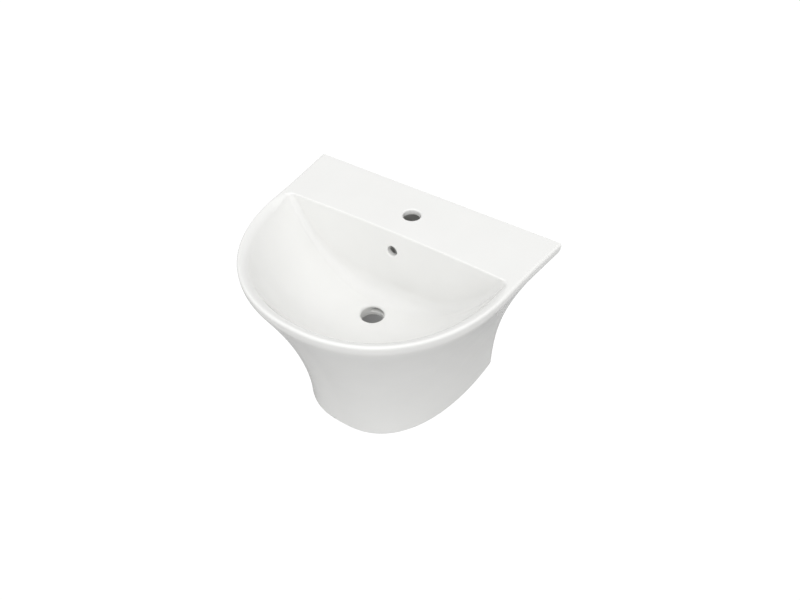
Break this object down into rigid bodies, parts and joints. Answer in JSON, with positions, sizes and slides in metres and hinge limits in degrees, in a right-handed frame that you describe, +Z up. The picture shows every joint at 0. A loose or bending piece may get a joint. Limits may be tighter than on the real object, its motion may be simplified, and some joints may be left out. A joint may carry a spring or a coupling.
{
  "type": "wall-hung washbasin with half pedestal",
  "caption": "One-piece glazed ceramic wall-hung washbasin with built-in half pedestal, D-shaped bowl, rear tap deck, overflow and screw wall fixings.",
  "frame": {"origin": "on the basin's flat back face, midway between the two wall-fixing holes, 95 mm below the deck", "axes": "+Z up, +Y out of the back face into the wall, -Y to the front of the basin, +X to the right seen from the front"},
  "size_m": [0.56, 0.524, 0.37],
  "materials": {
    "glazed_ceramic": "gloss white glaze, slightly warm",
    "zinc_steel": "bright zinc plate",
    "grey_nylon": "moulded, satin",
    "white_nylon": "moulded, satin"
  },
  "bodies": {
    "basin": {"basin_body": "glazed_ceramic", "left_wall_plug": "grey_nylon", "left_hanger_bolt": "zinc_steel", "left_fixing_bush": "white_nylon", "right_wall_plug": "grey_nylon", "right_hanger_bolt": "zinc_steel", "right_fixing_bush": "white_nylon"},
    "left_washer_body": {"left_washer": "zinc_steel"},
    "left_nut_body": {"left_nut": "zinc_steel"},
    "right_washer_body": {"right_washer": "zinc_steel"},
    "right_nut_body": {"right_nut": "zinc_steel"}
  },
  "joints": [
    {"name": "left_washer_slide", "type": "slide", "parent": "basin", "child": "left_washer_body", "axis": [0, -1, 0], "range_m": [0, 0.0165]},
    {"name": "left_nut_turn", "type": "hinge", "parent": "left_washer_body", "child": "left_nut_body", "pos_m": [-0.14, -0.0249, 0], "axis": [0, -1, 0], "range_deg": [0, 3960]},
    {"name": "right_washer_slide", "type": "slide", "parent": "basin", "child": "right_washer_body", "axis": [0, -1, 0], "range_m": [0, 0.0165]},
    {"name": "right_nut_turn", "type": "hinge", "parent": "right_washer_body", "child": "right_nut_body", "pos_m": [0.14, -0.0249, 0], "axis": [0, -1, 0], "range_deg": [0, 3960]}
  ],
  "couplings": [
    {"joint": "left_washer_slide", "follows": "left_nut_turn", "m_per_rad": 0.00023873},
    {"joint": "right_washer_slide", "follows": "right_nut_turn", "m_per_rad": 0.00023873}
  ]
}
